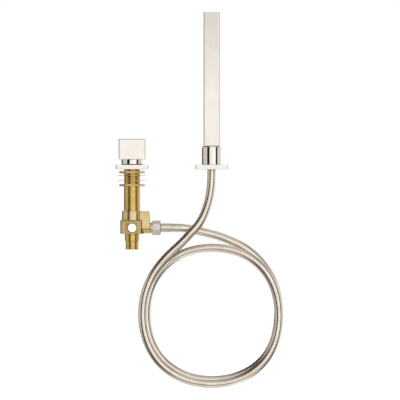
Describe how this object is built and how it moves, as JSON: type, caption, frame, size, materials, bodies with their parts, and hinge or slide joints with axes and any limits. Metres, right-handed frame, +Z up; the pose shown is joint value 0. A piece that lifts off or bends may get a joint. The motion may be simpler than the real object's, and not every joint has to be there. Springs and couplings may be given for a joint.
{
  "type": "deck mounted hand shower and valve",
  "caption": "Slim square-bar hand shower in a round deck holder, a square-handled deck valve with a brass rough body beside it, and a looped ribbed metal hose between them.",
  "frame": {"origin": "on the valve's axis in the plane of the deck, which is the underside of both flanges", "axes": "+Z up along the valve's axis, +X from the valve towards the shower, -Y towards the viewer of the picture"},
  "size_m": [0.2748, 0.0536, 0.6165],
  "materials": {
    "nickel": "polished nickel, warm white",
    "brass": "machined, light satin",
    "washer_steel": "stamped, satin",
    "screw_steel": "machined, dull",
    "ferrule_steel": "polished, nickel plated",
    "hose_steel": "polished interlocked strip, nickel plated",
    "seal_rubber": "matte",
    "cartridge_plastic": "moulded, matte",
    "liner_plastic": "moulded, satin",
    "nozzle_silicone": "soft, matte grey",
    "disc_ceramic": "lapped, smooth"
  },
  "bodies": {
    "root": {"trim_sleeve": "nickel", "valve_escutcheon": "nickel", "threaded_shank": "brass", "upper_locknut": "brass", "upper_washer": "washer_steel", "spindle_guide": "brass", "spindle_o_ring": "seal_rubber", "cartridge_housing": "cartridge_plastic", "fixed_ceramic_disc": "disc_ceramic", "cartridge_seal": "seal_rubber", "valve_body": "brass", "inlet_nipple": "brass", "hose_nut": "nickel", "hose_washer": "seal_rubber", "valve_end_ferrule": "ferrule_steel", "hose_feed_run": "hose_steel", "hose_loops": "hose_steel", "hose_rise_run": "hose_steel", "holder_escutcheon": "nickel", "holder_collar": "nickel", "holder_ring_nut": "brass", "holder_liner": "liner_plastic"},
    "handle": {"handle_block": "nickel", "handle_set_screw": "screw_steel", "valve_spindle": "brass", "moving_ceramic_disc": "disc_ceramic"},
    "deck_clamp": {"lower_washer": "washer_steel", "lower_locknut": "brass"},
    "hose_end": {"wand_end_ferrule": "ferrule_steel"},
    "wand": {"cone_nut": "nickel", "cone_nut_washer": "seal_rubber", "wand_inlet_plug": "brass", "check_valve": "cartridge_plastic", "wand_shell": "nickel", "flow_tube": "liner_plastic", "spray_chamber": "liner_plastic", "nozzle_mat": "nozzle_silicone", "spray_plate": "nickel"}
  },
  "joints": [
    {"name": "handle_turn", "type": "hinge", "parent": "root", "child": "handle", "pos_m": [0, 0, 0.03], "axis": [0, 0, 1], "range_deg": [0, 90]},
    {"name": "deck_nut_slide", "type": "slide", "parent": "root", "child": "deck_clamp", "axis": [0, 0, 1], "range_m": [0, 0.006]},
    {"name": "shower_lift", "type": "slide", "parent": "root", "child": "hose_end", "axis": [0, 0, 1], "range_m": [0, 0.036]},
    {"name": "shower_turn", "type": "hinge", "parent": "hose_end", "child": "wand", "pos_m": [0.1305, 0, 0.04], "axis": [0, 0, 1], "continuous": true}
  ]
}
